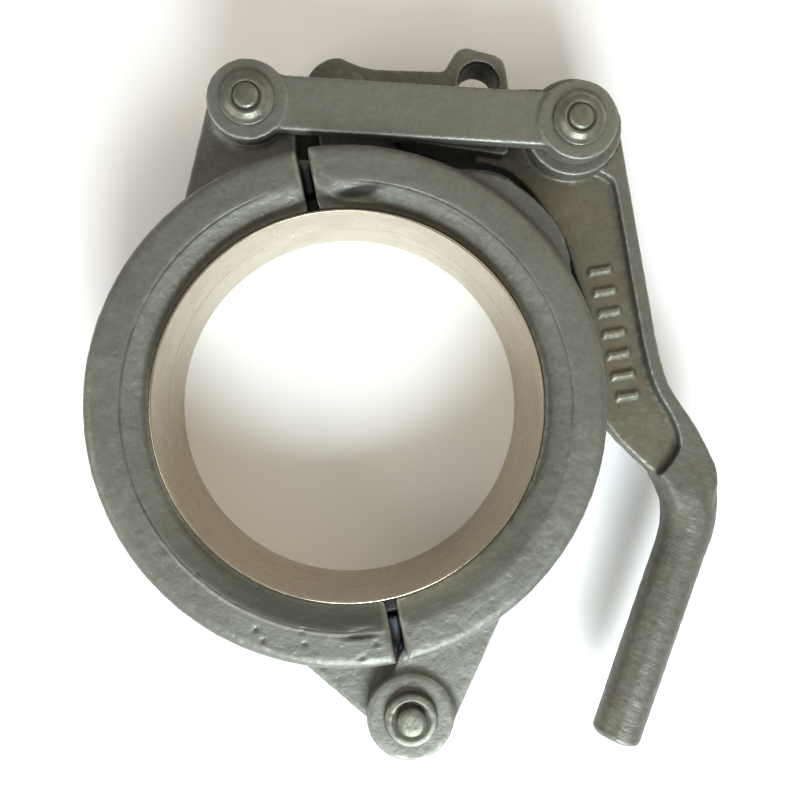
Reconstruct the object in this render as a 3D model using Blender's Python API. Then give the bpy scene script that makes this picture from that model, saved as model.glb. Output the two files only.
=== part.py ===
"""Hinged lever-lock pipe clamp for a five inch line, closed and locked.

Two half shells hinge on one pin and pull two flanged ferrules together face to
face. A cranked lever on the right shell draws the left shell in through a pair
of straight links, and locks because its pivot stands above their line.

The clamp lies flat with the pipe axis along +Z and its rear ferrule on Z = 0.
Plan sizes below are millimetres from the pipe axis, with the split between the
shells close to the plane X = 0. Heights are millimetres above the rear ferrule's end.
"""

import math

import bmesh
import bpy
from mathutils import Matrix, Vector

MM = 0.001
GAP = 0.3  # clearance between faces that rub or touch

# Pipe axis, measured from the middle of the whole clamp's outline
AXIS_X, AXIS_Y = -20.38, 9.00

# Pivots
HINGE = (2.4, -117.7)
LEVER_PIVOT = (18.6, 116.2)
LINK_END = (102.1, 89.6)
LINK_ANCHOR = (-17.1, 116.3)

# Pipe ferrules
BORE_R = 69.4
NECK_R = 70.2
FLANGE_R = 80.0
FERRULE_LENGTH = 28.0
FLANGE_DEPTH = 8.0
SEAL_R = 75.5
SEAL_WIDTH = 3.4
SEAL_HEIGHT = 3.5

# Shells
MIDDLE = FERRULE_LENGTH
SHELL_HALF_WIDTH = 26.0
SHELL_R = 94.9
LIP_R = 71.8
STEP_R = 80.4
STEP_DROP = 3.6
GROOVE_R = 80.6
GROOVE_HALF_WIDTH = 8.5
SPLIT_GAP = 4.2
SPLIT_LEAN = 1.1  # degrees; the split leans a little so that it passes over the hinge
SPLIT_SHIFT = 1.0
ROOT_R = 90.0  # how deep a lug reaches into the shell's wall

# Half thicknesses either side of the middle plane
PIVOT_LUG_HALF = 4.0
FORK_SLOT_HALF = 4.4
WEB_HALF = 4.5
RIB_HALF = 8.6
CHEEK_HALF = 9.2
ANCHOR_LUG_HALF = 10.0
BOSS_HALF = 12.0
TONGUE_HALF = 7.8
NOSE_HALF = 7.4
STOP_HALF = 22.0
EAR_INNER, EAR_OUTER, EAR_BOSS = 8.2, 14.0, 16.0
LINK_INNER, LINK_OUTER = 13.2, 19.4
LINK_BOSS_INNER, LINK_BOSS_OUTER = 12.3, 20.4

# Round parts
HINGE_LUG_R, HINGE_BOSS_R, TONGUE_R = 16.0, 16.4, 13.0
PIVOT_LUG_R, CHEEK_R, FORK_SLOT_R = 12.5, 14.2, 19.0
ANCHOR_LUG_R, ANCHOR_BOSS_R = 16.2, 15.0
LEVER_BOSS_R = 18.5
LINK_BOSS_R, LINK_HALF_HEIGHT, LINK_FILLET_R = 14.8, 10.0, 6.0
PIN_R = 7.0
PIVOT_PIN_R = 6.0
GRIP_R = 9.55
EAR_HOLE, EAR_HOLE_R = (69.7, 113.0), 7.7

RING_STEPS = 72
SEAL_STEPS = 48
PIN_STEPS = 24
BOSS_STEPS = 48


# ---------------------------------------------------------------- outlines

def arc(centre, radius, start, end, steps):
    """Points on a circle between two angles in degrees."""
    angles = [math.radians(start + (end - start) * i / steps) for i in range(steps + 1)]
    return [(centre[0] + radius * math.cos(a), centre[1] + radius * math.sin(a)) for a in angles]


def circle(centre, radius, steps):
    return arc(centre, radius, 0, 360, steps)[:-1]


def smooth_line(points, steps):
    """Catmull-Rom curve through the points, ends included."""
    padded = [points[0]] + list(points) + [points[-1]]
    curve = []
    for p0, p1, p2, p3 in zip(padded, padded[1:], padded[2:], padded[3:]):
        for i in range(steps):
            t = i / steps
            weights = (
                -0.5 * t + t * t - 0.5 * t ** 3,
                1 - 2.5 * t * t + 1.5 * t ** 3,
                0.5 * t + 2 * t * t - 1.5 * t ** 3,
                -0.5 * t * t + 0.5 * t ** 3,
            )
            curve.append(tuple(
                sum(w * p[axis] for w, p in zip(weights, (p0, p1, p2, p3)))
                for axis in range(len(p1))
            ))
    return curve + [tuple(points[-1])]


# ---------------------------------------------------------------- solids

def finish_mesh(bm, name):
    bmesh.ops.remove_doubles(bm, verts=bm.verts, dist=1e-6)
    bmesh.ops.recalc_face_normals(bm, faces=bm.faces)
    mesh = bpy.data.meshes.new(name)
    bm.to_mesh(mesh)
    bm.free()
    item = bpy.data.objects.new(name, mesh)
    bpy.context.collection.objects.link(item)
    return item


def prism(name, outline, low, high):
    """A flat outline pulled up between two heights."""
    bm = bmesh.new()
    base = bm.faces.new([bm.verts.new((x * MM, y * MM, low * MM)) for x, y in outline])
    pulled = bmesh.ops.extrude_face_region(bm, geom=[base])
    raised = [item for item in pulled["geom"] if isinstance(item, bmesh.types.BMVert)]
    bmesh.ops.translate(bm, verts=raised, vec=(0, 0, (high - low) * MM))
    return finish_mesh(bm, name)


def turned(name, profile, centre, steps, closed=False):
    """A (radius, height) profile spun round the upright line through centre."""
    bm = bmesh.new()
    verts = [bm.verts.new((r * MM, 0, z * MM)) for r, z in profile]
    edges = [bm.edges.new(pair) for pair in zip(verts, verts[1:])]
    if closed:
        edges.append(bm.edges.new((verts[-1], verts[0])))
    bmesh.ops.spin(
        bm, geom=verts + edges, cent=(0, 0, 0), axis=(0, 0, 1),
        angle=math.tau, steps=steps, use_merge=True,
    )
    bmesh.ops.translate(bm, verts=bm.verts, vec=(centre[0] * MM, centre[1] * MM, 0))
    return finish_mesh(bm, name)


def swept_bar(name, stations, steps):
    """Oval sections along a level line. A station is (x, y, half width, half height)."""
    bm = bmesh.new()
    loops = []
    for index, (x, y, width, height) in enumerate(stations):
        before = stations[max(index - 1, 0)]
        after = stations[min(index + 1, len(stations) - 1)]
        along = Vector((after[0] - before[0], after[1] - before[1])).normalized()
        across = Vector((-along.y, along.x))
        section = []
        for side, rise in circle((0, 0), 1.0, steps):
            spot = Vector((x, y)) + across * side * width
            section.append(bm.verts.new((spot.x * MM, spot.y * MM, (MIDDLE + rise * height) * MM)))
        loops.append(section)
    for near, far in zip(loops, loops[1:]):
        for i in range(steps):
            j = (i + 1) % steps
            bm.faces.new((near[i], near[j], far[j], far[i]))
    bm.faces.new(loops[0])
    bm.faces.new(loops[-1])
    return finish_mesh(bm, name)


def combine(target, tools, operation):
    """Unite the tools with the target, or cut them from it, one after another."""
    for tool in tools:
        modifier = target.modifiers.new(operation, "BOOLEAN")
        modifier.operation = operation
        modifier.object = tool
        graph = bpy.context.evaluated_depsgraph_get()
        result = bpy.data.meshes.new_from_object(target.evaluated_get(graph))
        target.modifiers.clear()
        target.data = result
        bpy.data.objects.remove(tool)
    return target


def unite(target, *tools):
    return combine(target, tools, "UNION")


def cut(target, *tools):
    return combine(target, tools, "DIFFERENCE")


def mirrored_height(height):
    """The same distance from the middle plane, on the other side."""
    return 2 * MIDDLE - height


def hole(centre, radius, steps=PIN_STEPS):
    return prism("hole", circle(centre, radius, steps), -10, 2 * MIDDLE + 10)


# ---------------------------------------------------------------- shells

def shell_profile():
    """Section of the shell's wall: a C with its mouth towards the pipe."""
    top = SHELL_HALF_WIDTH
    rim, corner = 3.2, 0.9
    upper = [
        (GROOVE_R, GROOVE_HALF_WIDTH),
        (LIP_R, GROOVE_HALF_WIDTH + 0.6),
        (LIP_R, top - STEP_DROP - corner),
        (LIP_R + corner, top - STEP_DROP),
        (STEP_R, top - 0.5),
        (STEP_R + 1.0, top),
        (SHELL_R - rim, top),
        (SHELL_R - rim * 0.35, top - rim * 0.35),
        (SHELL_R, top - rim),
    ]
    lower = [(r, -z) for r, z in reversed(upper)]
    return [(r, MIDDLE + z) for r, z in upper + lower]


def half_ring(name, side):
    """The wall on one side of the split; side is -1 for left and 1 for right."""
    ring = turned(name, shell_profile(), (0, 0), RING_STEPS, closed=True)
    lean = math.radians(SPLIT_LEAN)
    across = Vector((math.cos(lean), math.sin(lean), 0))
    edge = Vector((SPLIT_SHIFT, 0, 0)) + across * side * SPLIT_GAP / 2
    bm = bmesh.new()
    bm.from_mesh(ring.data)
    split = bmesh.ops.bisect_plane(
        bm, geom=bm.verts[:] + bm.edges[:] + bm.faces[:], dist=1e-7,
        plane_co=edge * MM, plane_no=across * -side, clear_outer=True,
    )
    rim = [item for item in split["geom_cut"] if isinstance(item, bmesh.types.BMEdge)]
    bmesh.ops.edgeloop_fill(bm, edges=rim)
    bmesh.ops.recalc_face_normals(bm, faces=bm.faces)
    bm.to_mesh(ring.data)
    bm.free()
    return ring


def nose_outline(end):
    """Nose that fills most of the split between the half shells; end is 1 at the top."""
    lean = math.tan(math.radians(SPLIT_LEAN))
    inner, outer = end * (GROOVE_R + 0.9), end * (SHELL_R - 1.4)

    def beside(distance, y):
        return SPLIT_SHIFT + distance - y * lean, y

    tip, root = SPLIT_GAP / 2 - GAP - 0.1, -SPLIT_GAP / 2 - 2.0
    return [beside(tip, inner), beside(tip, outer), beside(root, outer), beside(root, inner)]


def build_left_shell():
    shell = half_ring("left_shell", -1)
    lug = arc(LINK_ANCHOR, ANCHOR_LUG_R, 0, 157, 16) + [(-53.0, 74.0), (-4.0, ROOT_R)]
    tongue = arc(HINGE, TONGUE_R, -141.2, 48.7, 20) + [(0.2, -ROOT_R), (-45.0, -79.5)]
    unite(
        shell,
        prism("lug", lug, MIDDLE - ANCHOR_LUG_HALF, MIDDLE + ANCHOR_LUG_HALF),
        prism("boss", circle(LINK_ANCHOR, ANCHOR_BOSS_R, BOSS_STEPS), MIDDLE - BOSS_HALF, MIDDLE + BOSS_HALF),
        prism("tongue", tongue, MIDDLE - TONGUE_HALF, MIDDLE + TONGUE_HALF),
        *(prism("nose", nose_outline(end), MIDDLE - NOSE_HALF, MIDDLE + NOSE_HALF) for end in (1, -1)),
    )
    return cut(shell, hole(LINK_ANCHOR, PIN_R + GAP), hole(HINGE, PIN_R + GAP))


def stop_outline():
    """Pad on the right shell that the closed lever comes to rest beside."""
    crest = smooth_line([
        (90.0, 17.0), (94.6, 20.5), (97.4, 23.5), (99.9, 27.0), (101.6, 31.0), (102.2, 35.5),
        (102.2, 41.0), (101.4, 45.5), (99.0, 50.0), (95.0, 54.5), (90.0, 58.0),
    ], 2)
    return [(r * math.cos(math.radians(a)), r * math.sin(math.radians(a))) for r, a in crest]


def build_right_shell():
    shell = half_ring("right_shell", 1)
    lug = arc(LEVER_PIVOT, PIVOT_LUG_R, -10, 190, 18) + [(5.5, ROOT_R), (37.0, 82.0)]
    unite(
        shell,
        prism("lug", lug, MIDDLE - PIVOT_LUG_HALF, MIDDLE + PIVOT_LUG_HALF),
        prism("stop", stop_outline(), MIDDLE - STOP_HALF, MIDDLE + STOP_HALF),
    )
    ear = arc(HINGE, HINGE_LUG_R, 105.0, 325.5, 24) + [(50.6, -75.8), (5.0, -ROOT_R)]
    for side in (1, -1):
        plate = sorted((MIDDLE + side * EAR_INNER, MIDDLE + side * EAR_OUTER))
        boss = sorted((MIDDLE + side * (EAR_INNER + GAP), MIDDLE + side * EAR_BOSS))
        unite(
            shell,
            prism("ear", ear, *plate),
            prism("boss", circle(HINGE, HINGE_BOSS_R, BOSS_STEPS), *boss),
        )
    return cut(shell, hole(LEVER_PIVOT, PIVOT_PIN_R + GAP), hole(HINGE, PIN_R + GAP))


# ---------------------------------------------------------------- lever

def blade_outline():
    """Arm, blade and elbow, seen from the front."""
    outer = smooth_line([(120.6, 5.0), (122.4, -12.8), (130.3, -31.3), (134.6, -46.2), (134.2, -54.0)], 4)
    elbow = [(131.2, -61.0), (126.0, -68.0), (120.5, -67.0), (117.2, -60.0)]
    inner = smooth_line([
        (115.0, -54.9), (113.3, -48.4), (106.8, -39.4), (96.5, -23.5), (98.0, -10.3), (98.9, 5.2),
        (97.8, 20.8), (95.0, 36.4), (93.6, 48.0), (88.9, 60.0), (83.4, 70.0), (79.8, 75.0),
        (76.0, 79.0), (70.5, 82.0), (64.0, 84.5),
    ], 2)
    arm = [(66.0, 95.0), (66.0, 103.0), (74.0, 110.2), (83.0, 110.0), (93.0, 108.6)]
    heel = (LINK_END[0] + 15.8, LINK_END[1] + 13.2)
    boss = arc(LINK_END, LEVER_BOSS_R, 104, 66, 4) + [heel] + arc(LINK_END, LEVER_BOSS_R, 12, 0, 2)
    return outer + elbow + inner + arm + boss


def pocket_outline():
    """The sunken panel between the outer rib and the blade's inner edge."""
    rib = smooth_line([
        (108.3, 72.7), (113.9, 69.0), (115.4, 63.4), (115.4, 37.3), (115.3, 17.2), (115.9, -4.9),
        (117.9, -15.7), (121.1, -24.0), (123.0, -32.0), (122.6, -38.0), (119.2, -42.5), (114.6, -46.3),
    ], 2)
    return [(LINK_END[0], 80.0)] + rib + [
        (103.0, -50.0), (88.0, -30.0), (88.0, 50.0), (60.0, 80.0), (60.0, 118.0), (LINK_END[0], 118.0),
    ]


def cheek_outline():
    """Fork cheeks round the pivot, with the ear for a seal or padlock."""
    ear = [
        (57.5, 119.1), (61.5, 124.0), (64.3, 126.5), (67.3, 126.8), (77.9, 122.2),
        (80.3, 120.0), (81.2, 116.8), (80.5, 104.0),
    ]
    middle = (LEVER_PIVOT[0] - 1.2, LEVER_PIVOT[1] + 0.4)
    end = [(31.6, 124.0), (26.4, 126.0), (22.8, 128.2)] + arc(middle, CHEEK_R, 85, 255, 16)
    return end + [(42.3, 94.0), (74.6, 84.0), (76.4, 85.0)] + ear[::-1]


def grip_stations():
    """Elbow and straight grip: centre, half width and half height."""
    elbow = [
        (126.0, -37.5, 4.0, 6.0), (126.2, -45.0, 8.8, 8.6), (125.3, -53.0, 10.45, 9.4),
        (124.4, -62.4, 10.5, GRIP_R), (122.1, -71.0, 10.3, GRIP_R), (118.0, -78.8, 9.8, GRIP_R),
    ]
    tip = Vector((79.8, -146.5))
    along = (tip - Vector(elbow[-1][:2])).normalized()
    shoulder = tip - along * 1.4
    return smooth_line(elbow, 2) + [
        (shoulder.x, shoulder.y, GRIP_R, GRIP_R), (tip.x, tip.y, GRIP_R - 1.4, GRIP_R - 1.4),
    ]


def fork_slot():
    """Room for the right shell's lug, open all round the pivot except towards the blade."""
    edge = LEVER_PIVOT[0] + FORK_SLOT_R
    outline = arc(LEVER_PIVOT, FORK_SLOT_R, 0, 180, 16) + [(LEVER_PIVOT[0] - FORK_SLOT_R, 85.0), (edge, 85.0)]
    return prism("slot", outline, MIDDLE - FORK_SLOT_HALF, MIDDLE + FORK_SLOT_HALF)


def build_lever():
    lever = prism("lever", blade_outline(), MIDDLE - RIB_HALF, MIDDLE + RIB_HALF)
    pocket = pocket_outline()
    cut(
        lever,
        prism("pocket", pocket, MIDDLE + WEB_HALF, MIDDLE + BOSS_HALF),
        prism("pocket", pocket, MIDDLE - BOSS_HALF, MIDDLE - WEB_HALF),
    )
    unite(
        lever,
        prism("cheeks", cheek_outline(), MIDDLE - CHEEK_HALF, MIDDLE + CHEEK_HALF),
        prism("boss", circle(LINK_END, LEVER_BOSS_R, BOSS_STEPS), MIDDLE - BOSS_HALF, MIDDLE + BOSS_HALF),
        swept_bar("grip", grip_stations(), 20),
    )
    return cut(
        lever,
        fork_slot(),
        hole(LEVER_PIVOT, PIVOT_PIN_R + GAP),
        hole(LINK_END, PIN_R + GAP),
        hole(EAR_HOLE, EAR_HOLE_R),
    )


# ---------------------------------------------------------------- links and pins

def link_outline():
    """A bar between two round eyes, with a fillet in each of the four corners."""
    start, end = Vector(LINK_ANCHOR), Vector(LINK_END)
    length = (end - start).length
    rise = LINK_HALF_HEIGHT + LINK_FILLET_R
    reach = math.sqrt((LINK_BOSS_R + LINK_FILLET_R) ** 2 - rise ** 2)
    meet = math.degrees(math.atan2(rise, reach))
    quarter = arc((reach, rise), LINK_FILLET_R, 270, 180 + meet, 5) + arc((0, 0), LINK_BOSS_R, meet, 180, 14)
    upper = [(length - x, y) for x, y in reversed(quarter)] + quarter
    lower = [(x, -y) for x, y in reversed(upper)][1:-1]
    turn = Matrix.Rotation(math.atan2(end.y - start.y, end.x - start.x), 2)
    return [tuple(start + turn @ Vector(point)) for point in upper + lower]


def build_link(name, side):
    """A straight link: a flat bar with a thicker round eye at each end."""
    bar = sorted((MIDDLE + side * LINK_INNER, MIDDLE + side * LINK_OUTER))
    eye = sorted((MIDDLE + side * LINK_BOSS_INNER, MIDDLE + side * LINK_BOSS_OUTER))
    link = prism(name, link_outline(), *bar)
    unite(link, *(prism("eye", circle(end, LINK_BOSS_R, BOSS_STEPS), *eye) for end in (LINK_ANCHOR, LINK_END)))
    return cut(link, hole(LINK_ANCHOR, PIN_R + GAP), hole(LINK_END, PIN_R + GAP))


def pin_end(face, shank_r, spigot_r, shoulder, tip):
    """Upper half of a pin's profile: shank, riveted spigot and its domed tip."""
    return [
        (shank_r, face), (spigot_r, face + 0.1), (spigot_r, shoulder),
        (spigot_r * 0.8, tip - 0.5), (spigot_r * 0.5, tip), (0, tip),
    ]


def build_pin(name, centre, end):
    """A pin with the same end at the front and at the rear."""
    rear = [(r, mirrored_height(z)) for r, z in reversed(end)]
    return turned(name, rear + end, centre, PIN_STEPS)


def build_collar(name, centre, hole_r, foot_r, top_r, low, high, side):
    """A washer under a riveted pin end, dished towards its rim."""
    profile = [(hole_r, low), (foot_r, low), (foot_r, low + 0.9), (top_r, high), (hole_r, high)]
    if side < 0:
        profile = [(r, mirrored_height(z)) for r, z in profile]
    return turned(name, profile, centre, PIN_STEPS, closed=True)


def build_link_pin_end(name, side):
    """The riveted end of the lever's link pin, held in one link's eye."""
    eye = MIDDLE + LINK_BOSS_OUTER
    profile = [(0, MIDDLE + LINK_BOSS_INNER + 0.1), (PIN_R, MIDDLE + LINK_BOSS_INNER + 0.1)]
    profile += pin_end(eye, PIN_R, 4.5, eye + 3.0, eye + 4.4)
    if side < 0:
        profile = [(r, mirrored_height(z)) for r, z in profile]
    return turned(name, profile, LINK_END, PIN_STEPS)


# ---------------------------------------------------------------- ferrules and seal

def build_ferrule(name, side):
    """Pipe end with a flange at the joint face and half of the seal's groove."""
    face = GAP / 2
    inner, outer = SEAL_R - SEAL_WIDTH / 2 - GAP, SEAL_R + SEAL_WIDTH / 2 + GAP
    floor = SEAL_HEIGHT / 2 + GAP
    profile = [
        (BORE_R, face), (inner, face), (inner, floor), (outer, floor), (outer, face),
        (FLANGE_R, face), (FLANGE_R, FLANGE_DEPTH - 1.2), (FLANGE_R - 1.2, FLANGE_DEPTH),
        (NECK_R + 1.6, FLANGE_DEPTH), (NECK_R, FLANGE_DEPTH + 1.6), (NECK_R, FERRULE_LENGTH),
        (BORE_R, FERRULE_LENGTH),
    ]
    return turned(name, [(r, MIDDLE + side * z) for r, z in profile], (0, 0), RING_STEPS, closed=True)


def build_seal():
    half_w, half_h, corner = SEAL_WIDTH / 2, SEAL_HEIGHT / 2, 0.8
    section = [
        (-half_w, -half_h + corner), (-half_w + corner, -half_h), (half_w - corner, -half_h),
        (half_w, -half_h + corner), (half_w, half_h - corner), (half_w - corner, half_h),
        (-half_w + corner, half_h), (-half_w, half_h - corner),
    ]
    profile = [(SEAL_R + r, MIDDLE + z) for r, z in section]
    return turned("seal_ring", profile, (0, 0), SEAL_STEPS, closed=True)


# ---------------------------------------------------------------- assembly

def material(name, colour, roughness, metallic):
    made = bpy.data.materials.new(name)
    made.use_nodes = True
    shader = made.node_tree.nodes["Principled BSDF"]
    shader.inputs["Base Color"].default_value = (*colour, 1.0)
    shader.inputs["Roughness"].default_value = roughness
    shader.inputs["Metallic"].default_value = metallic
    return made


FINISHES = {
    "casting": ((0.215, 0.220, 0.180), 0.50, 0.55),
    "forging": ((0.235, 0.235, 0.195), 0.45, 0.60),
    "rivet": ((0.200, 0.200, 0.170), 0.40, 0.70),
    "machined": ((0.600, 0.560, 0.470), 0.32, 0.90),
    "rubber": ((0.020, 0.020, 0.022), 0.70, 0.00),
}


def add_empty(name, spot, parent=None):
    empty = bpy.data.objects.new(name, None)
    bpy.context.collection.objects.link(empty)
    empty.location = (spot[0] * MM, spot[1] * MM, 0)
    empty.parent = parent
    return empty


def place(piece, pivot, anchor, finish):
    """Hang a piece, modelled about the pipe axis, on the empty at its body's pivot."""
    piece.data.transform(Matrix.Translation((-pivot[0] * MM, -pivot[1] * MM, 0)))
    piece.parent = anchor
    piece.data.materials.clear()
    piece.data.materials.append(material(piece.name + "_finish", *FINISHES[finish]))
    piece.data.shade_smooth()
    piece.data.set_sharp_from_angle(angle=math.radians(35))


def right_half_pieces():
    boss = MIDDLE + EAR_BOSS
    cheek = MIDDLE + CHEEK_HALF
    yield build_right_shell(), "casting"
    yield build_ferrule("front_ferrule", 1), "machined"
    yield build_ferrule("rear_ferrule", -1), "machined"
    yield build_seal(), "rubber"
    yield build_pin("hinge_pin", HINGE, pin_end(boss, PIN_R, 5.6, boss + 4.6, boss + 6.0)), "rivet"
    yield build_pin("lever_pivot_pin", LEVER_PIVOT,
                    pin_end(cheek, PIVOT_PIN_R, 4.4, cheek + 2.0, cheek + 2.7)), "rivet"
    for word, side in (("front", 1), ("rear", -1)):
        yield build_collar("hinge_collar_" + word, HINGE, 6.8, 10.3, 9.7, boss + GAP, boss + 3.2, side), "rivet"
        yield build_collar("pivot_collar_" + word, LEVER_PIVOT, 4.7, 9.5, 8.9,
                           cheek + GAP, cheek + 2.1, side), "rivet"


def left_half_pieces():
    eye = MIDDLE + LINK_BOSS_OUTER
    yield build_left_shell(), "casting"
    yield build_pin("anchor_pin", LINK_ANCHOR, pin_end(eye, PIN_R, 4.5, eye + 3.0, eye + 4.4)), "rivet"
    for word, side in (("front", 1), ("rear", -1)):
        yield build_collar("anchor_collar_" + word, LINK_ANCHOR, 4.8, 9.9, 6.6,
                           eye + GAP, eye + 3.2, side), "rivet"


def lever_pieces():
    yield build_lever(), "casting"
    boss = BOSS_HALF - 0.1
    core = [(0, MIDDLE - boss), (PIN_R, MIDDLE - boss), (PIN_R, MIDDLE + boss), (0, MIDDLE + boss)]
    yield turned("link_pin", core, LINK_END, PIN_STEPS), "rivet"


def link_pieces():
    eye = MIDDLE + LINK_BOSS_OUTER
    for word, side in (("front", 1), ("rear", -1)):
        yield build_link(word + "_link", side), "forging"
        yield build_link_pin_end("link_pin_end_" + word, side), "rivet"
        yield build_collar("link_collar_" + word, LINK_END, 4.8, 9.9, 6.6,
                           eye + GAP, eye + 3.2, side), "rivet"


def main():
    for item in list(bpy.data.objects):
        bpy.data.objects.remove(item)
    pipe_axis = add_empty("pipe_axis", (AXIS_X, AXIS_Y))
    bodies = (
        ("right_half_axis", (0, 0), right_half_pieces),
        ("left_half_axis", HINGE, left_half_pieces),
        ("lever_axis", LEVER_PIVOT, lever_pieces),
        ("links_axis", LINK_ANCHOR, link_pieces),
    )
    for name, pivot, pieces in bodies:
        anchor = add_empty(name, pivot, pipe_axis)
        for piece, finish in pieces():
            place(piece, pivot, anchor, finish)


main()
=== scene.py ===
"""Looks of the hinged lever-lock pipe clamp: rough castings, riveted pins, bright turned pipe ends.

The castings and forged links are dense copies of their CAD nodes, with rounded edges, soft
fillets and a rough skin. The pins, collars, pipe ends and seal are turned afresh, with finer
profiles than the CAD needs. Lengths are metres; a size given in millimetres is times MM.
"""

import math

import bmesh
import bpy
import numpy as np
from mathutils import Matrix, Vector


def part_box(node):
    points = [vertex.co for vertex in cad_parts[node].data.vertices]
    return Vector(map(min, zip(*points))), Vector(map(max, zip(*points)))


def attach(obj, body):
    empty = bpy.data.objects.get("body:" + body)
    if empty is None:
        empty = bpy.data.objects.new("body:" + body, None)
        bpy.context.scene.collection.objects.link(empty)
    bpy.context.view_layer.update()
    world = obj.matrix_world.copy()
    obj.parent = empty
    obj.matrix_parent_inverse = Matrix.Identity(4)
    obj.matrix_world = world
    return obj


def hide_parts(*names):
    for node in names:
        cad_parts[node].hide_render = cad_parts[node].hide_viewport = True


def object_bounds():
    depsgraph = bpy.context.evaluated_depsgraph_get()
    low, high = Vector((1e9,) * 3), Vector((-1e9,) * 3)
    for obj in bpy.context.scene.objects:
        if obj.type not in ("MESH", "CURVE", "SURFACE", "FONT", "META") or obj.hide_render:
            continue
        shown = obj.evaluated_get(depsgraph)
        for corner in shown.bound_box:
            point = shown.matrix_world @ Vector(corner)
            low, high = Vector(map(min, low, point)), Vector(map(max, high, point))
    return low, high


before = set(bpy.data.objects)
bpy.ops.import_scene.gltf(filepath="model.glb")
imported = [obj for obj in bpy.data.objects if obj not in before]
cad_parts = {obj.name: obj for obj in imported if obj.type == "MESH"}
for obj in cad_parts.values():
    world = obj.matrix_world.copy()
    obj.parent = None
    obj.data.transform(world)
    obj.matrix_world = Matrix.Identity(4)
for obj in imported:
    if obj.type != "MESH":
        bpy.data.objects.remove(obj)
CAD_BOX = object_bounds()

MM = 0.001
FRONT, REAR = 1, -1
RIGHT, LEFT = 1, -1


def middle(node):
    low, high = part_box(node)
    return (low + high) / 2


PIPE = middle("front_ferrule")
HINGE = middle("hinge_pin")
PIVOT = middle("lever_pivot_pin")
LINK_END = middle("link_pin")
ANCHOR = middle("anchor_pin")
MID_Z = HINGE.z
MIDDLE = Vector((PIPE.x, PIPE.y, MID_Z))
SHELL_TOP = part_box("right_shell")[1].z - MID_Z
RING_R = 95.0 * MM  # the shells' outside
BAND_R = 81.0 * MM  # where the shells' flat outer band ends and the bevel to the pipe starts
CREASE = 0.5 * MM  # the step at that radius
SHOULDER_R = 75.2 * MM  # the bevel's inner edge, where the casting rounds down to the pipe
SHOULDER_DROP = 1.5 * MM
DEEPER_DROP = 1.6 * MM  # added to it low down on the left half
LIP_DROP = 4.2 * MM
END_DROP = 2.2 * MM  # how far the band rounds down at the splits

SHELL_GRID, FINE_GRID = 0.82 * MM, 0.7 * MM  # face sizes of the dense copies
PIN_STEPS, SEAL_STEPS, FERRULE_STEPS = 72, 144, 240  # round the turned pieces


# ---------------------------------------------------------------- mesh helpers

def new_piece(name, mesh):
    piece = bpy.data.objects.new(name, mesh)
    bpy.context.scene.collection.objects.link(piece)
    return piece


def coordinates(mesh):
    flat = np.empty(len(mesh.vertices) * 3)
    mesh.vertices.foreach_get("co", flat)
    return flat.reshape(-1, 3)


def set_coordinates(mesh, points):
    mesh.vertices.foreach_set("co", points.ravel())
    mesh.update()


def normals(mesh):
    flat = np.empty(len(mesh.vertices) * 3, np.float32)
    mesh.vertex_normals.foreach_get("vector", flat)
    return flat.reshape(-1, 3).astype(float)


def apply_modifiers(piece):
    graph = bpy.context.evaluated_depsgraph_get()
    result = bpy.data.meshes.new_from_object(piece.evaluated_get(graph))
    piece.modifiers.clear()
    piece.data = result
    return piece


def smooth_step(t):
    t = np.clip(t, 0.0, 1.0)
    return t * t * (3 - 2 * t)


def weld(mesh):
    bm = bmesh.new()
    bm.from_mesh(mesh)
    bmesh.ops.remove_doubles(bm, verts=bm.verts, dist=1e-6)
    bm.to_mesh(mesh)
    bm.free()


def smooth(piece, steps, group_name=""):
    """Evens out the skin, in a vertex group only if one is named."""
    modifier = piece.modifiers.new("smooth", "SMOOTH")
    modifier.factor = 0.5
    modifier.iterations = steps
    modifier.vertex_group = group_name
    return apply_modifiers(piece)


def dense_copy(node, name, voxel, rounding):
    """A CAD node's shape in even small faces, its edges and corners rounded by smoothing."""
    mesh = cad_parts[node].data.copy()
    weld(mesh)
    piece = new_piece(name, mesh)
    remesh = piece.modifiers.new("dense", "REMESH")
    remesh.mode = "VOXEL"
    remesh.voxel_size = voxel
    return smooth(piece, rounding)


def nearness(points, centre, radius):
    """1 at the centre, falling evenly to 0 at the radius and below it outside."""
    return 1 - np.linalg.norm(points - centre, axis=1) / radius


def melt(piece, centre, radius, steps):
    """Smooths away edges within a radius of a point, most at the point itself."""
    group = piece.vertex_groups.new(name="melt")
    weights = smooth_step(1.6 * nearness(coordinates(piece.data), centre, radius))
    for index in np.flatnonzero(weights > 0.01):
        group.add([int(index)], float(weights[index]), "REPLACE")
    return smooth(piece, steps, group.name)


def swell(piece, centre, radius, height):
    """Pushes the skin out along its normals near a point."""
    points = coordinates(piece.data)
    lift = height * smooth_step(nearness(points, centre, radius))
    set_coordinates(piece.data, points + normals(piece.data) * lift[:, None])


def roughen(piece, size, height):
    """Lumps of about the given size and height along the normals, kept inside the CAD's box."""
    texture = bpy.data.textures.new(piece.name + "_lumps", "CLOUDS")
    texture.noise_scale = size
    texture.noise_depth = 2
    displace = piece.modifiers.new("lumps", "DISPLACE")
    displace.texture = texture
    displace.texture_coords = "LOCAL"
    displace.mid_level = 0.5
    displace.strength = height
    apply_modifiers(piece)
    inside = np.clip(coordinates(piece.data), tuple(CAD_BOX[0]), tuple(CAD_BOX[1]))
    set_coordinates(piece.data, inside)


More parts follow.
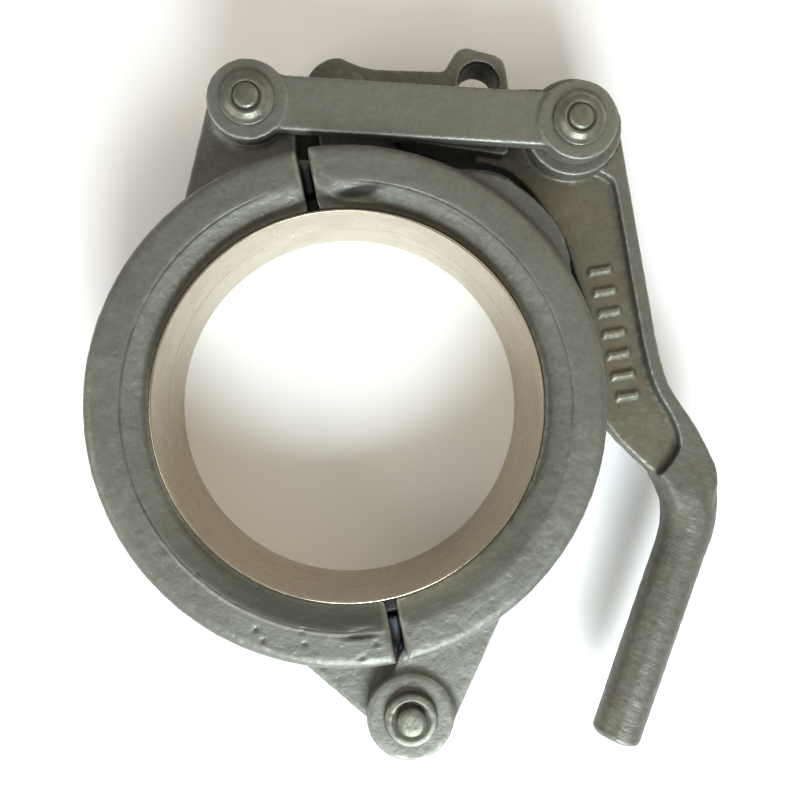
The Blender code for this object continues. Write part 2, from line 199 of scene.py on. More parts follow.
def pit(piece, seed, count, biggest, deepest):
    """Small round blow holes and dents, scattered over the skin."""
    points, outward = coordinates(piece.data), normals(piece.data)
    draw = np.random.default_rng(seed)
    for centre in points[draw.integers(0, len(points), count)]:
        radius = biggest * draw.uniform(0.35, 1.0)
        depth = deepest * draw.uniform(0.4, 1.0)
        points -= outward * (depth * smooth_step(nearness(points, centre, radius)))[:, None]
    set_coordinates(piece.data, points)


def finish(piece, body, nodes, slot, *materials):
    """Gives a piece its materials and smooth shading, puts it on its body and hides its CAD nodes;
    slot is not used.
    """
    piece.data.materials.clear()
    for material in materials:
        piece.data.materials.append(material)
    piece.data.shade_smooth()
    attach(piece, body)
    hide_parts(*nodes)


# ---------------------------------------------------------------- turned work

def softened(profile, radius, closed):
    """The profile with every corner cut round by a short curve."""
    count = len(profile)
    points = [Vector(point) for point in profile]
    result = []
    for i, corner in enumerate(points):
        if not closed and i in (0, count - 1):
            result.append(corner)
            continue
        before, after = points[i - 1] - corner, points[(i + 1) % count] - corner
        reach = min(radius, before.length * 0.45, after.length * 0.45)
        start, end = corner + before.normalized() * reach, corner + after.normalized() * reach
        for t in (0.0, 0.25, 0.5, 0.75, 1.0):
            result.append(start * (1 - t) ** 2 + corner * 2 * t * (1 - t) + end * t ** 2)
    return result


def turned(name, profile, centre, steps, radius, closed=False):
    """A (radius, height) profile in metres spun round the upright line through centre.

    Heights count from the clamp's middle plane.
    """
    bm = bmesh.new()
    outline = softened(profile, radius, closed)
    verts = [bm.verts.new((p[0], 0, p[1])) for p in outline]
    edges = [bm.edges.new(pair) for pair in zip(verts, verts[1:])]
    if closed:
        edges.append(bm.edges.new((verts[-1], verts[0])))
    bmesh.ops.spin(
        bm, geom=verts + edges, cent=(0, 0, 0), axis=(0, 0, 1),
        angle=math.tau, steps=steps, use_merge=True,
    )
    bmesh.ops.remove_doubles(bm, verts=bm.verts, dist=1e-6)
    bmesh.ops.recalc_face_normals(bm, faces=bm.faces)
    bmesh.ops.translate(bm, verts=bm.verts, vec=(centre.x, centre.y, MID_Z))
    mesh = bpy.data.meshes.new(name)
    bm.to_mesh(mesh)
    bm.free()
    return new_piece(name, mesh)


def millimetres(profile):
    return [(r * MM, z * MM) for r, z in profile]


def facing(profile, side):
    return [(r, side * z) for r, z in profile]


# ---------------------------------------------------------------- materials

class Surface:
    """A Principled material, with helpers that add and link its procedural nodes."""

    def __init__(self, name, metallic, roughness, specular=0.5):
        self.material = bpy.data.materials.new(name)
        self.material.use_nodes = True
        self.nodes = self.material.node_tree.nodes
        self.links = self.material.node_tree.links
        self.shader = self.nodes["Principled BSDF"]
        self.shader.inputs["Metallic"].default_value = metallic
        self.shader.inputs["Roughness"].default_value = roughness
        self.shader.inputs["Specular IOR Level"].default_value = specular
        self.place = self.nodes.new("ShaderNodeTexCoord").outputs["Object"]

    def stretched(self, scale):
        node = self.nodes.new("ShaderNodeMapping")
        node.inputs["Scale"].default_value = scale
        self.links.new(self.place, node.inputs["Vector"])
        return node.outputs["Vector"]

    def noise(self, scale, detail=4.0, rough=0.55, warp=0.0, where=None):
        node = self.nodes.new("ShaderNodeTexNoise")
        node.inputs["Scale"].default_value = scale
        node.inputs["Detail"].default_value = detail
        node.inputs["Roughness"].default_value = rough
        node.inputs["Distortion"].default_value = warp
        self.links.new(where or self.place, node.inputs["Vector"])
        return node.outputs["Fac"]

    def cells(self, scale):
        node = self.nodes.new("ShaderNodeTexVoronoi")
        node.inputs["Scale"].default_value = scale
        self.links.new(self.place, node.inputs["Vector"])
        return node.outputs["Distance"]

    def vector_math(self, kind, first, second=None):
        node = self.nodes.new("ShaderNodeVectorMath")
        node.operation = kind
        self.links.new(first, node.inputs[0])
        if isinstance(second, tuple):
            node.inputs[1].default_value = second
        elif second is not None:
            self.links.new(second, node.inputs[1])
        return node.outputs

    def from_pipe(self):
        """A point's way from the pipe's axis, seen from the front."""
        offset = self.vector_math("SUBTRACT", self.place, (PIPE.x, PIPE.y, 0))["Vector"]
        return self.vector_math("MULTIPLY", offset, (1, 1, 0))["Vector"]

    def plan(self):
        """The same way as x and y."""
        node = self.nodes.new("ShaderNodeSeparateXYZ")
        self.links.new(self.from_pipe(), node.inputs["Vector"])
        return node.outputs["X"], node.outputs["Y"]

    def reach(self):
        """A point's distance from the pipe's axis."""
        return self.vector_math("LENGTH", self.from_pipe())["Value"]

    def from_circle(self, radius):
        """How far a point lies from a circle of that radius about the pipe's axis."""
        return self.math("ABSOLUTE", self.math("SUBTRACT", self.reach(), radius), 0.0)

    def patch(self, x, y, wide, high):
        """A soft oval spot on the front, given from the pipe's axis: 1 in its middle, 0 outside."""
        offset = self.vector_math("SUBTRACT", self.from_pipe(), (x, y, 0))["Vector"]
        offset = self.vector_math("MULTIPLY", offset, (2 / wide, 2 / high, 0))["Vector"]
        return self.ranged(self.vector_math("LENGTH", offset)["Value"], 1.0, 0.45)

    def round_the_pipe(self, circle):
        """Coordinates that draw a pattern out along the ring: a small circle's x and y, and radius."""
        turn = self.vector_math("NORMALIZE", self.from_pipe())["Vector"]
        turn = self.vector_math("MULTIPLY", turn, (circle, circle, 0))["Vector"]
        return self.vector_math("ADD", turn, self.upright(self.reach()))["Vector"]

    def upright(self, value):
        """A vector along Z as long as the value."""
        node = self.nodes.new("ShaderNodeCombineXYZ")
        self.links.new(value, node.inputs["Z"])
        return node.outputs["Vector"]

    def across_grip(self):
        """Coordinates that draw a pattern out across the lever's grip."""
        along = self.vector_math("DOT_PRODUCT", self.place, GRIP_WAY)["Value"]
        slow = self.vector_math("MULTIPLY", self.place, (0.16, 0.16, 0.16))["Vector"]
        return self.vector_math("ADD", slow, self.upright(along))["Vector"]

    def pointiness(self):
        return self.nodes.new("ShaderNodeNewGeometry").outputs["Pointiness"]

    def ranged(self, value, low, high, out_low=0.0, out_high=1.0):
        """The value stretched from low..high to out_low..out_high, and kept in there."""
        node = self.nodes.new("ShaderNodeMapRange")
        node.inputs["From Min"].default_value = low
        node.inputs["From Max"].default_value = high
        node.inputs["To Min"].default_value = out_low
        node.inputs["To Max"].default_value = out_high
        self.links.new(value, node.inputs["Value"])
        return node.outputs["Result"]

    def math(self, kind, first, second):
        node = self.nodes.new("ShaderNodeMath")
        node.operation = kind
        for socket, value in zip(node.inputs, (first, second)):
            if isinstance(value, (int, float)):
                socket.default_value = value
            else:
                self.links.new(value, socket)
        return node.outputs["Value"]

    def mix(self, amount, first, second):
        """Two colours mixed; a colour is a tuple or a node's output."""
        node = self.nodes.new("ShaderNodeMix")
        node.data_type = "RGBA"
        if isinstance(amount, (int, float)):
            node.inputs["Factor"].default_value = amount
        else:
            self.links.new(amount, node.inputs["Factor"])
        for key, value in ((6, first), (7, second)):
            if isinstance(value, tuple):
                node.inputs[key].default_value = (*value, 1.0)
            else:
                self.links.new(value, node.inputs[key])
        return node.outputs[2]

    def bump(self, value, distance, strength=1.0, under=None):
        node = self.nodes.new("ShaderNodeBump")
        node.inputs["Distance"].default_value = distance
        node.inputs["Strength"].default_value = strength
        self.links.new(value, node.inputs["Height"])
        if under is not None:
            self.links.new(under, node.inputs["Normal"])
        return node.outputs["Normal"]

    def paint(self, colour=None, roughness=None, normal=None):
        for key, value in (("Base Color", colour), ("Roughness", roughness), ("Normal", normal)):
            if value is not None:
                self.links.new(value, self.shader.inputs[key])
        return self.material


GRIP_WAY = (0.517, 0.856, 0.0)  # the direction of the lever's grip

# Painted shade spots on the shells' two scoops: x, y from the pipe's axis, width and height.
PAINTED_SHADE_SPOTS = [
    (17.0 * MM, 75.8 * MM, 26.0 * MM, 5.2 * MM),
    (-9.2 * MM, -81.2 * MM, 20.0 * MM, 5.0 * MM),
]
PAD_SHADE = (0.05, 0.054, 0.058)


def cast_metal(name, tone, dark, wear_and_highlight, rust, rust_share, coarse, marks=None):
    """Shot-blasted cast steel: mottled grey with rust stains, painted shade in the hollows, and bright
    edges that are partly wear and partly painted highlight.

    marks is a function that adds the marks of one casting to its colour, roughness and normal.
    """
    surface = Surface(name, metallic=0.55, roughness=0.5)
    painted_shade = tuple(channel * 0.35 for channel in dark)
    cloudy = surface.ranged(surface.noise(30.0, 5.0, 0.6, 0.6), 0.30, 0.70)
    colour = surface.mix(cloudy, dark, tone)
    speckle = surface.ranged(surface.noise(520.0, 4.0, 0.7), 0.40, 0.68)
    colour = surface.mix(speckle, colour, surface.mix(0.10, colour, wear_and_highlight))
    stain = surface.noise(60.0, 4.0, 0.62, 0.4)
    stain = surface.ranged(stain, 0.62 - rust_share, 0.78 - rust_share)
    colour = surface.mix(surface.math("MULTIPLY", stain, 0.8), colour, rust)
    bend = surface.pointiness()
    # Painted shade: concave places, found by pointiness, are darkened.
    hollow = surface.ranged(bend, 0.49, 0.455)
    colour = surface.mix(surface.math("MULTIPLY", hollow, 0.75), colour, painted_shade)
    # Bright edges, found by pointiness: partly wear, partly painted highlight.
    patchy = surface.ranged(speckle, 0.0, 1.0, 0.5, 1.0)
    edge = surface.math("MULTIPLY", surface.ranged(bend, 0.515, 0.56), patchy)
    colour = surface.mix(edge, colour, wear_and_highlight)

    lumps = surface.noise(150.0 / coarse, 3.0, 0.5, 0.3)
    grain = surface.noise(560.0, 4.0, 0.65)
    holes = surface.ranged(surface.cells(240.0), 0.0, 0.30)
    normal = surface.bump(lumps, 0.35 * MM * coarse)
    normal = surface.bump(grain, 0.15 * MM, under=normal)
    normal = surface.bump(holes, 0.12 * MM, 0.6, under=normal)
    roughness = surface.ranged(surface.noise(240.0, 4.0, 0.6), 0.3, 0.7, 0.40, 0.62)
    if marks:
        colour, roughness, normal = marks(surface, colour, roughness, normal, painted_shade, wear_and_highlight)
    return surface.paint(colour, roughness, normal)


def lever_marks(surface, colour, roughness, normal, *_):
    """Hammer strokes across the grip."""
    strokes = surface.noise(420.0, 3.0, 0.6, 0.4, where=surface.across_grip())
    on_grip = surface.ranged(surface.reach(), 122.0 * MM, 130.0 * MM)
    strokes = surface.math("MULTIPLY", strokes, on_grip)
    return colour, roughness, surface.bump(strokes, 0.24 * MM, under=normal)


def shell_marks(surface, colour, roughness, normal, painted_shade, wear_and_highlight):
    """Wrinkles round the ring; painted shade in its hollows, on the low left bevel and on the stop
    pad; a painted highlight along the band's low left edge; and the crease, darkened by painted shade.
    """
    x, y = surface.plan()
    low = surface.ranged(y, -25.0 * MM, -60.0 * MM)
    low_right = surface.math("MULTIPLY", surface.ranged(x, 0.0, 2.0 * MM), low)
    low_left = surface.math("MULTIPLY", surface.ranged(x, 0.0, -2.0 * MM), low)

    wrinkles = surface.noise(260.0, 3.0, 0.55, 0.5, where=surface.round_the_pipe(0.022))
    on_ring = surface.ranged(surface.reach(), 99.0 * MM, 94.0 * MM)
    normal = surface.bump(surface.math("MULTIPLY", wrinkles, on_ring), 0.28 * MM, under=normal)

    # Painted shade on the low left bevel and on the spots; there the surface is rougher too.
    on_bevel = surface.ranged(surface.reach(), BAND_R, BAND_R - 2.0 * MM, 0.0, 0.62)
    shade_mask = surface.math("MULTIPLY", low_left, on_bevel)
    for spot in PAINTED_SHADE_SPOTS:
        in_spot = surface.math("MULTIPLY", surface.patch(*spot), 0.9)
        shade_mask = surface.math("MAXIMUM", shade_mask, in_spot)
    colour = surface.mix(shade_mask, colour, painted_shade)
    roughness = surface.math("MAXIMUM", roughness, shade_mask)

    # A painted highlight along the band's edge by the crease, low on the left.
    highlight_mask = surface.ranged(surface.from_circle(BAND_R + 0.8 * MM), 1.1 * MM, 0.2 * MM, 0.0, 0.9)
    colour = surface.mix(surface.math("MULTIPLY", low_left, highlight_mask), colour, wear_and_highlight)

    # Painted shadow on the stop pad, beyond the ring high on the right.
    outside = surface.ranged(surface.reach(), RING_R + 0.2 * MM, RING_R + 1.2 * MM, 0.0, 0.5)
    right = surface.ranged(x, 35.0 * MM, 45.0 * MM)
    high_right = surface.math("MULTIPLY", right, surface.ranged(y, 22.0 * MM, 28.0 * MM))
    colour = surface.mix(surface.math("MULTIPLY", outside, high_right), colour, PAD_SHADE)

    # The crease: a groove in the bump, darkened by painted shade; broken up, and left out low on the
    # right and by the top split.
    by_axis = surface.ranged(surface.math("ABSOLUTE", x, 0.0), 36.0 * MM, 14.0 * MM)
    by_top_split = surface.math("MULTIPLY", surface.ranged(y, 0.0, 20.0 * MM), by_axis)
    shows = surface.math("SUBTRACT", 1.0, surface.math("MAXIMUM", low_right, by_top_split))
    broken = surface.ranged(surface.noise(45.0, 3.0), 0.35, 0.6, 0.25, 1.0)
    line = surface.ranged(surface.from_circle(BAND_R), 0.6 * MM, 0.1 * MM)
    line = surface.math("MULTIPLY", surface.math("MULTIPLY", line, broken), shows)
    colour = surface.mix(surface.math("MULTIPLY", line, 0.6), colour, painted_shade)
    return colour, roughness, surface.bump(line, -0.3 * MM, under=normal)


def turned_steel(name, tone, dark):
    """Dull turned and hammered steel: pin ends and collars."""
    surface = Surface(name, metallic=0.7, roughness=0.42)
    cloudy = surface.ranged(surface.noise(120.0, 5.0, 0.6), 0.35, 0.65)
    colour = surface.mix(cloudy, dark, tone)
    # Painted shade: concave places, found by pointiness, are darkened.
    hollow = surface.ranged(surface.pointiness(), 0.48, 0.43)
    colour = surface.mix(hollow, colour, tuple(channel * 0.3 for channel in dark))
    rings = surface.noise(1.0, 3.0, 0.6, where=surface.stretched((900.0, 900.0, 2600.0)))
    normal = surface.bump(rings, 0.08 * MM)
    normal = surface.bump(surface.noise(300.0, 3.0, 0.5), 0.15 * MM, under=normal)
    roughness = surface.ranged(surface.noise(260.0, 3.0, 0.6), 0.3, 0.7, 0.34, 0.52)
    return surface.paint(colour, roughness, normal)


def satin_steel(name, tone, shade):
    """Bright turned pipe end: fine lathe lines round it, faint smears."""
    surface = Surface(name, metallic=1.0, roughness=0.3)
    lines = surface.noise(1.0, 4.0, 0.7, where=surface.stretched((6.0, 6.0, 3200.0)))
    smears = surface.noise(1.0, 2.0, 0.5, 0.2, where=surface.stretched((26.0, 26.0, 60.0)))
    smears = surface.ranged(smears, 0.25, 0.8)
    colour = surface.mix(smears, tone, shade)
    colour = surface.mix(surface.ranged(lines, 0.4, 0.75, 0.0, 0.35), colour, shade)
    normal = surface.bump(lines, 0.02 * MM)
    roughness = surface.ranged(surface.noise(70.0, 5.0, 0.6), 0.3, 0.7, 0.20, 0.34)
    return surface.paint(colour, roughness, normal)


def seal_rubber(name):
    """Black moulded rubber."""
    surface = Surface(name, metallic=0.0, roughness=0.6)
    colour = surface.mix(surface.noise(200.0), (0.016, 0.016, 0.017), (0.032, 0.031, 0.030))
    normal = surface.bump(surface.noise(1500.0), 0.05 * MM)
    return surface.paint(colour, None, normal)


# Colour of the bright edges: partly wear, partly painted highlight.
EDGE_WEAR_AND_HIGHLIGHT = (0.34, 0.35, 0.31)
BROWN = (0.11, 0.095, 0.065)

SHELL_METAL = cast_metal(
    "shell_metal", (0.146, 0.147, 0.124), (0.112, 0.112, 0.092), EDGE_WEAR_AND_HIGHLIGHT, BROWN,
    rust_share=-0.04, coarse=1.0, marks=shell_marks)
LEVER_METAL = cast_metal(
    "lever_metal", (0.136, 0.134, 0.110), (0.096, 0.092, 0.072), EDGE_WEAR_AND_HIGHLIGHT, (0.108, 0.094, 0.070),
    rust_share=0.02, coarse=1.2, marks=lever_marks)
LINK_METAL = cast_metal(
    "link_metal", (0.148, 0.148, 0.123), (0.130, 0.130, 0.107), (0.32, 0.33, 0.29), BROWN,
    rust_share=-0.10, coarse=0.7)
WEB_METAL = cast_metal(
    "web_metal", (0.158, 0.149, 0.108), (0.100, 0.093, 0.067), (0.30, 0.29, 0.24),
    (0.125, 0.098, 0.060), rust_share=0.14, coarse=1.0)
# Painted shade colour, blue-grey, for the walls in the split.
SPLIT_SHADE = turned_steel("split_shade", (0.20, 0.215, 0.235), (0.14, 0.15, 0.165))
# Painted shade, nearly black, for the walls inside the lever's hole.
HOLE_SHADE = turned_steel("hole_shade", (0.040, 0.042, 0.046), (0.026, 0.027, 0.030))
PIN_METAL = turned_steel("pin_metal", (0.185, 0.185, 0.150), (0.115, 0.115, 0.090))
FERRULE_METAL = satin_steel("ferrule_metal", (0.52, 0.46, 0.35), (0.44, 0.38, 0.285))
# Dark, dull outside of the pipe ends: a mill finish, and painted shade where it shows through the
# split.
FERRULE_SKIN_AND_SHADE = turned_steel("ferrule_skin_and_shade", (0.060, 0.060, 0.055), (0.030, 0.030, 0.028))
RUBBER = seal_rubber("seal_rubber_finish")


# ---------------------------------------------------------------- castings

SPLIT_LEAN = math.radians(1.1)
SPLIT_SHIFT = 1.0 * MM
HALF_GAP = 2.1 * MM
EDGE_Z = 21.0 * MM  # below the rounded edges of the split's walls, from the middle plane

TICK_COUNT = 7
TICK_LIFT = 1.2 * MM
WEB_Z = 6.2 * MM  # above the faces of the lever's web, from the middle plane
EAR_HOLE = Vector((PIPE.x + 69.7 * MM, PIPE.y + 113.0 * MM))
EAR_HOLE_R = 8.4 * MM


def plan_from_axis(points):
    return points[:, 0] - PIPE.x, points[:, 1] - PIPE.y


def band_drop(depth, crease, slant, shoulder_at):
    """How far the shell's face lies below its top, by the distance outside the crease line.

    Outside it is the flat band. Inside come a small step, a slope as deep as slant, and a
    round shoulder that starts at a share of the bevel's width.
    """
    bevel = BAND_R - SHOULDER_R
    slope = np.clip(-depth / bevel, 0, 1)
    shoulder = np.clip((-depth / bevel - shoulder_at) / (1.35 - shoulder_at), 0, 1)
    step = smooth_step(0.5 - depth / (1.2 * MM))
    return crease * step + (slant - crease) * slope + (LIP_DROP - slant) * shoulder ** 2


def across_split(x, y, side):
    """How far points lie from the middle of the split, into the half on that side."""
    return ((x - SPLIT_SHIFT) * math.cos(SPLIT_LEAN) + y * math.sin(SPLIT_LEAN)) * side


def shape_band(piece, side, end_bevel, corner):
    """Bevels the band towards the pipe and rounds its corners at both ends of a half shell.

    The crease fades out towards the upper split, where the left half's shoulder is broad. Low
    down, the left half's bevel is deep and the right half's fades out into a flat face.
    """
    points = coordinates(piece.data)
    x, y = plan_from_axis(points)
    reach = np.hypot(x, y)
    low = smooth_step((-y - 38 * MM) / (28 * MM))
    plain = low if side == RIGHT else 0 * low
    slant = SHOULDER_DROP + DEEPER_DROP * (low - plain)
    by_top_split = smooth_step(y / (20 * MM)) * smooth_step((36 * MM - np.abs(x)) / (22 * MM))
    crease = CREASE * (1 - 0.8 * by_top_split)
    shoulder_at = 0.75 - (0.40 * smooth_step(y / (60 * MM)) if side == LEFT else 0.0)
    inside = reach - BAND_R + plain * (BAND_R - SHOULDER_R) * 0.9
    across = across_split(x, y, side) - HALF_GAP
    rounded = corner - np.hypot(corner - inside, corner - across + end_bevel)
    near_corner = (inside < corner) & (across < corner + end_bevel)
    depth = np.where(near_corner, rounded, inside)
    end_drop = END_DROP * np.clip(1 - (across + 0.3 * MM) / end_bevel, 0, 1) ** 2
    limit = SHELL_TOP - np.maximum(band_drop(depth, crease, slant, shoulder_at), end_drop)
    height = points[:, 2] - MID_Z
    high = (reach < RING_R + 5 * MM) & (np.abs(height) > limit)
    points[high, 2] = MID_Z + np.sign(height[high]) * limit[high]
    set_coordinates(piece.data, points)
    smooth(piece, 2)


def shade_in_split(piece, side):
    """The second material, a blue-grey painted shade colour, goes on the faces that look into the
    split, below the edges.
    """
    for face in piece.data.polygons:
        x, y, z = face.center - MIDDLE
        beside_gap = across_split(x, y, side) < HALF_GAP + 0.5 * MM
        if beside_gap and abs(z) < EDGE_Z and math.hypot(x, y) < RING_R:
            face.material_index = 1


def scoop(piece, radius, angle, length, inward, depth):
    """A hollow in the front face along the ring: a steep wall outside, run out towards the pipe."""
    wall = 1.2 * MM
    points = coordinates(piece.data)
    x, y = plan_from_axis(points)
    along = (np.degrees(np.arctan2(y, x)) - angle) * math.radians(1) * radius / (length / 2)
    outward = np.hypot(x, y) - radius
    across = np.where(outward > 0, outward / wall, -outward / inward)
    hollow = smooth_step(1 - np.clip(across, 0, 1)) * smooth_step((1 - np.abs(along)) * 1.3)
    front = points[:, 2] > MID_Z + 15 * MM
    points[front, 2] -= depth * hollow[front]
    set_coordinates(piece.data, points)


# Open pores in the left shell's band, low down by the split: radius in millimetres, degrees.
BLOW_HOLES = [
    (85.5, -93.5), (86.3, -110.5), (88.8, -120.0), (85.9, -122.5), (82.3, -111.8), (90.2, -97.0),
]


def build_right_shell():
    piece = dense_copy("right_shell", "right_shell_casting", SHELL_GRID, 6)
    shape_band(piece, RIGHT, 2.6 * MM, 9.0 * MM)
    scoop(piece, 77.6 * MM, 77.4, 20.0 * MM, 4.0 * MM, 1.7 * MM)
    roughen(piece, 4.5 * MM, 0.24 * MM)
    pit(piece, 11, 60, 1.8 * MM, 0.30 * MM)
    finish(piece, "right_half", ["right_shell"], "shell_casting", SHELL_METAL, SPLIT_SHADE)
    shade_in_split(piece, RIGHT)


def build_left_shell():
    piece = dense_copy("left_shell", "left_shell_casting", SHELL_GRID, 6)
    shape_band(piece, LEFT, 1.6 * MM, 4.0 * MM)
    scoop(piece, 82.2 * MM, -96.5, 15.0 * MM, 3.5 * MM, 1.3 * MM)
    roughen(piece, 4.5 * MM, 0.24 * MM)
    pit(piece, 12, 90, 1.8 * MM, 0.35 * MM)
    for radius, angle in BLOW_HOLES:
        scoop(piece, radius * MM, angle, 3.0 * MM, 1.5 * MM, 0.7 * MM)
    finish(piece, "left_half", ["left_shell"], "shell_casting", SHELL_METAL, SPLIT_SHADE)
    shade_in_split(piece, LEFT)


def raise_ticks(piece):
    """Plain ticks, cast in a row on each face of the lever's web in place of lettering."""
    points = coordinates(piece.data)
    x, y = plan_from_axis(points)
    side = np.sign(points[:, 2] - MID_Z)
    height = np.abs(points[:, 2] - MID_Z)
    web = (height > 3.6 * MM) & (height < 5.6 * MM)
    for step in range(TICK_COUNT):
        beside = np.abs(x - (104.8 + 0.35 * step) * MM) - 4.4 * MM
        along = np.abs(y - (35.0 - 8.3 * step) * MM) - 1.3 * MM
        lift = TICK_LIFT * smooth_step(0.5 - np.maximum(beside, along) / (1.1 * MM))
        points[web, 2] += (side * lift)[web]
    set_coordinates(piece.data, points)


def build_lever():
    piece = dense_copy("lever", "lever_casting", FINE_GRID, 8)
    elbow_inside, elbow_outside = Vector((115.5, -57.5, 0)) * MM, Vector((129.3, -56.8, 0)) * MM
    melt(piece, MIDDLE + elbow_inside, 16.0 * MM, 60)
    for side in (FRONT, REAR):
        web_end = Vector((109.6, -53.3, 8.0 * side)) * MM
        melt(piece, MIDDLE + web_end, 10.0 * MM, 60)
    swell(piece, MIDDLE + elbow_outside, 22.0 * MM, 1.3 * MM)
    raise_ticks(piece)
    roughen(piece, 4.0 * MM, 0.26 * MM)
    pit(piece, 13, 60, 1.6 * MM, 0.25 * MM)
    finish(piece, "lever", ["lever"], "lever_casting", LEVER_METAL, WEB_METAL, HOLE_SHADE)
    for face in piece.data.polygons:
        flatness = abs(face.normal.z)
        if abs(face.center.z - MID_Z) < WEB_Z and flatness > 0.75:
            face.material_index = 1
        # Painted shade on the walls inside the hole.
        elif (face.center.xy - EAR_HOLE).length < EAR_HOLE_R and flatness < 0.7:
            face.material_index = 2


def build_link(node):
    piece = dense_copy(node, node + "_forging", FINE_GRID, 4)
    roughen(piece, 5.0 * MM, 0.16 * MM)
    finish(piece, "links", [node], "link_forging", LINK_METAL)


# ---------------------------------------------------------------- pins, collars, pipe ends

PIN_R, SLIM_PIN_R = 7.0 * MM, 6.0 * MM
NUB_R, SLIM_NUB_R, HINGE_NUB_R = 4.7, 4.4, 5.3  # millimetres


def node_span(node):
    """A node's lowest and highest height, from the middle plane."""
    low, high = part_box(node)
    return low.z - MID_Z, high.z - MID_Z


def outward_span(node, side):
    """A node's near and far height from the middle plane, on its own side of it."""
    low, high = node_span(node)
    return (low, high) if side == FRONT else (-high, -low)


def head(shank, nub, face, tip):
    """Riveted end from the shank's shoulder up: a nub with a round, nearly flat crown."""
    return [
        (shank, face), (nub, face + 0.1 * MM), (nub, tip - 0.9 * MM),
        (nub * 0.84, tip - 0.2 * MM), (nub * 0.5, tip), (0, tip - 0.1 * MM),
    ]


def build_pin(node, body, centre, shank, nub, face):
    _, high = node_span(node)
    end = head(shank, nub, face, high)
    profile = facing(end[::-1], REAR) + end
    piece = turned(node + "_turned", profile, centre, PIN_STEPS, 0.5 * MM)
    roughen(piece, 2.2 * MM, 0.16 * MM)
    finish(piece, body, [node], "pin_steel", PIN_METAL)


def build_pin_end(node, side):
    inner, tip = outward_span(node, side)
    face = node_span("front_link")[1]
    profile = [(0, inner), (PIN_R, inner)] + head(PIN_R, NUB_R * MM, face, tip)
    piece = turned(node + "_turned", facing(profile, side), LINK_END, PIN_STEPS, 0.5 * MM)
    roughen(piece, 2.2 * MM, 0.16 * MM)
    finish(piece, "links", [node], "pin_steel", PIN_METAL)


def coned(nub, foot):
    """Outline of a collar with a flat rim, a cone, and a moat round the nub.

    As in the two below, a point is a radius in millimetres and a share of the collar's rise.
    """
    return [
        (nub - 0.3, 0), (foot, 0), (foot, 0.40), (foot - 1.8, 0.50),
        (nub + 1.7, 1.0), (nub + 1.0, 0.98), (nub, 0.70), (nub - 0.3, 0.60),
    ]


def dished(nub, foot):
    """Outline of a collar with a high rim that falls to the nub like a funnel."""
    return [
        (nub - 0.3, 0), (foot, 0), (foot, 0.50), (foot - 0.5, 0.95),
        (foot - 2.6, 1.0), (nub, 0.62), (nub - 0.3, 0.52),
    ]


def stepped(nub, foot):
    """Outline of a collar in two low steps."""
    return [
        (nub - 0.3, 0), (foot, 0), (foot, 0.60), (foot - 2.6, 0.70),
        (foot - 3.0, 1.0), (nub, 1.0), (nub - 0.3, 0.90),
    ]


def build_collar(node, body, centre, side, outline):
    """A riveted collar; its hole is closed by the pin's nub."""
    base, crown = outward_span(node, side)
    profile = [(radius * MM, base + (crown - base) * share) for radius, share in outline]
    piece = turned(
        node + "_turned", facing(profile, side), centre, PIN_STEPS, 0.6 * MM, closed=True)
    roughen(piece, 2.6 * MM, 0.14 * MM)
    finish(piece, body, [node], "pin_steel", PIN_METAL)


def build_link_core():
    low, high = node_span("link_pin")
    profile = [(0, low), (PIN_R, low), (PIN_R, high), (0, high)]
    piece = turned("link_pin_turned", profile, LINK_END, PIN_STEPS, 0.5 * MM)
    finish(piece, "lever", ["link_pin"], "pin_steel", PIN_METAL)


def build_ferrule(node, side):
    """A pipe end: thin neck, flange, and its half of the seal's groove. The outside is dark and dull:
    a mill finish, and painted shade where it shows through the split.
    """
    inner, end = (height / MM for height in outward_span(node, side))
    bore, neck, flange, chamfer = 69.4, 70.2, 80.0, 1.2
    groove_in, groove_out, groove_deep, depth = 73.5, 77.5, 2.05, 8.0
    profile = millimetres([
        (bore, inner), (bore + 0.1, inner),
        (groove_in, inner), (groove_in, groove_deep), (groove_out, groove_deep), (groove_out, inner),
        (flange, inner), (flange, depth - chamfer), (flange - chamfer, depth),
        (neck + 1.6, depth), (neck, depth + 1.6), (neck, end),
        (bore + 0.1, end), (bore, end - 0.3), (bore, inner + 0.1),
    ])
    piece = turned(
        node + "_turned", facing(profile, side), PIPE, FERRULE_STEPS, 0.25 * MM, closed=True)
    finish(piece, "right_half", [node], "ferrule_steel", FERRULE_METAL, FERRULE_SKIN_AND_SHADE)
    for face in piece.data.polygons:
        x, y, _ = face.center - MIDDLE
        if math.hypot(x, y) > (neck + 1.0) * MM:
            face.material_index = 1


def build_seal():
    low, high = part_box("seal_ring")
    outside, half_height = (high.x - low.x) / 2, (high.z - low.z) / 2
    thickness = 3.4 * MM
    inside = outside - thickness
    profile = [
        (inside, -half_height), (outside, -half_height), (outside, half_height), (inside, half_height),
    ]
    piece = turned("seal_ring_moulded", profile, PIPE, SEAL_STEPS, 1.0 * MM, closed=True)
    finish(piece, "right_half", ["seal_ring"], "seal_rubber", RUBBER)


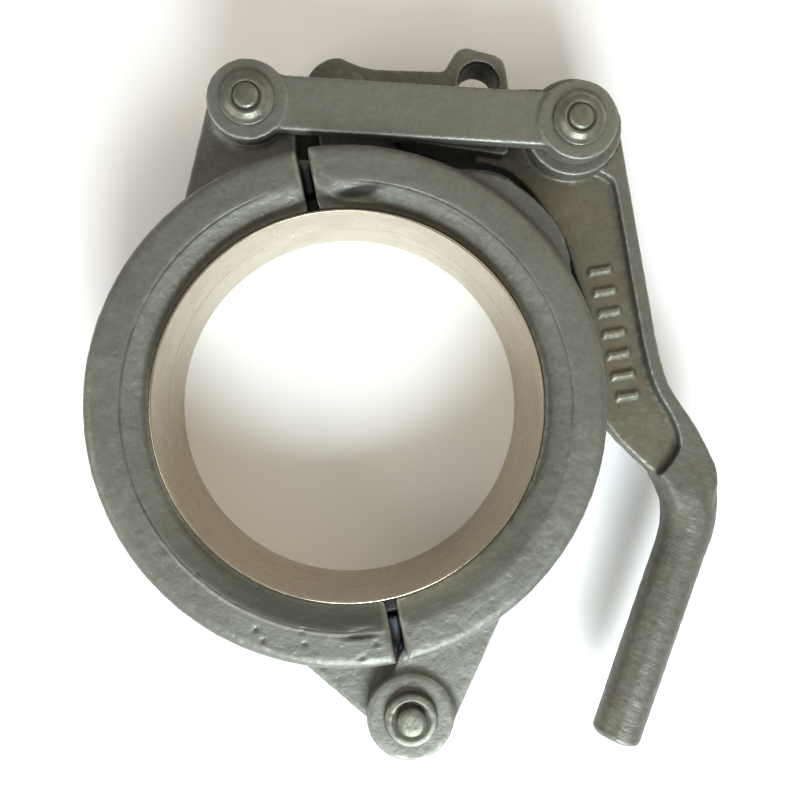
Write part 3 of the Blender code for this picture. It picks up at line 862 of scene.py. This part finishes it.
def build_object():
    build_right_shell()
    build_left_shell()
    build_lever()
    build_link("front_link")
    build_link("rear_link")
    build_pin("hinge_pin", "right_half", HINGE, PIN_R, HINGE_NUB_R * MM, 16.0 * MM)
    build_pin("lever_pivot_pin", "right_half", PIVOT, SLIM_PIN_R, SLIM_NUB_R * MM, 9.2 * MM)
    build_pin("anchor_pin", "left_half", ANCHOR, PIN_R, NUB_R * MM, 20.4 * MM)
    build_link_core()
    for word, side in (("front", FRONT), ("rear", REAR)):
        build_pin_end("link_pin_end_" + word, side)
        build_collar("hinge_collar_" + word, "right_half", HINGE, side, dished(HINGE_NUB_R, 10.0))
        build_collar("pivot_collar_" + word, "right_half", PIVOT, side, stepped(SLIM_NUB_R, 9.4))
        build_collar("anchor_collar_" + word, "left_half", ANCHOR, side, coned(NUB_R, 10.0))
        build_collar("link_collar_" + word, "links", LINK_END, side, coned(NUB_R, 10.0))
        build_ferrule(word + "_ferrule", side)
    build_seal()


# ---------------------------------------------------------------- stage, light, camera

def build_floor():
    bpy.ops.mesh.primitive_plane_add(size=6.0, location=(0, 0, 0))
    floor = bpy.context.object
    floor.name = "floor"
    surface = Surface("floor_white", metallic=0.0, roughness=0.7, specular=0.2)
    surface.shader.inputs["Base Color"].default_value = (0.90, 0.90, 0.90, 1)
    floor.data.materials.append(surface.material)


def add_light(name, spot, size, power, colour):
    """A soft square light, aimed at the middle of the clamp."""
    data = bpy.data.lights.new(name, "AREA")
    data.shape = "SQUARE"
    data.size = size
    data.energy = power
    data.color = colour
    light = bpy.data.objects.new(name, data)
    bpy.context.scene.collection.objects.link(light)
    light.location = spot
    light.rotation_euler = (Vector((0, 0, 0.02)) - Vector(spot)).to_track_quat("-Z", "Y").to_euler()


def build_light():
    """A cool key beyond the hinge, near enough to fall off over the clamp, and warm fills."""
    world = bpy.data.worlds.new("studio")
    bpy.context.scene.world = world
    world.use_nodes = True
    background = world.node_tree.nodes["Background"]
    background.inputs["Color"].default_value = (1.0, 0.96, 0.90, 1)
    background.inputs["Strength"].default_value = 0.41
    add_light("key", (-0.03, -0.78, 0.56), 0.50, 19.8, (0.86, 0.96, 1.0))
    add_light("fill_right", (0.8, 0.5, 0.9), 0.9, 4.0, (1.0, 0.86, 0.64))
    add_light("fill_left", (-1.0, -0.1, 0.62), 0.5, 4.9, (1.0, 0.94, 0.84))
    bpy.context.scene.view_settings.view_transform = "Standard"


def build_camera():
    """Nearly straight above the clamp, a little to the right of its axis, rolled by ten degrees."""
    roll = Matrix.Rotation(math.radians(-10.0), 4, "Z")
    eye = Vector((4.5, 1.5, 354.6)) * MM  # from the pipe's axis, on the floor
    lean_right, lean_up = math.radians(2.63), math.radians(0.14)  # of the view, from straight down
    plumb = Vector((-math.tan(lean_right), -math.tan(lean_up), -1))
    tilt = plumb.rotation_difference(Vector((0, 0, -1))).to_matrix().to_4x4()
    data = bpy.data.cameras.new("camera")
    data.sensor_width = 36.0
    data.lens = 37.76
    data.clip_start = 0.01
    camera = bpy.data.objects.new("camera", data)
    bpy.context.scene.collection.objects.link(camera)
    axis = Vector((PIPE.x, PIPE.y, 0))
    camera.matrix_world = Matrix.Translation(axis) @ roll @ Matrix.Translation(eye) @ tilt
    bpy.context.scene.camera = camera


build_object()
build_floor()
build_light()
build_camera()
